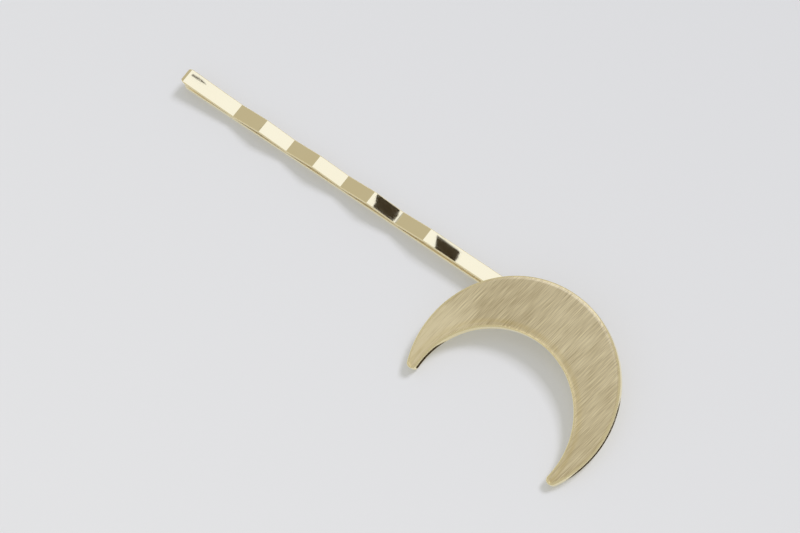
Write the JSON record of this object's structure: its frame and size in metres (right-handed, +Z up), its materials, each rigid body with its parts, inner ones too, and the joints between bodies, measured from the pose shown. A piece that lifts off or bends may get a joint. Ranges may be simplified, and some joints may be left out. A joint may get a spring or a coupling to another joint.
{
  "type": "hairpin",
  "caption": "Sprung flat-wire hairpin with a crimped upper leg, a straight lower leg, and a flat brushed crescent plate soldered over the bend.",
  "frame": {"origin": "under the middle of the pin's length, on the underside of the straight leg", "axes": "+X along the pin from the open tips to the bend, +Z up through the crescent's face, horns towards -Y"},
  "size_m": [0.0693, 0.0192, 0.0044],
  "materials": {
    "polished_gold_wire": "polished light gold plating on spring steel",
    "brushed_gold_plate": "light gold with a straight brushed grain and a polished rim",
    "gold_solder": "satin, plated over"
  },
  "bodies": {
    "lower": {"straight_leg": "polished_gold_wire"},
    "upper": {"crimped_leg": "polished_gold_wire", "solder_joint": "gold_solder", "crescent_plate": "brushed_gold_plate"}
  },
  "joints": [
    {"name": "leg_opening", "type": "hinge", "parent": "lower", "child": "upper", "pos_m": [0.03015, 0, 0.00105], "axis": [0, 1, 0], "range_deg": [0, 10], "stiffness_Nm_per_rad": 0.11}
  ]
}
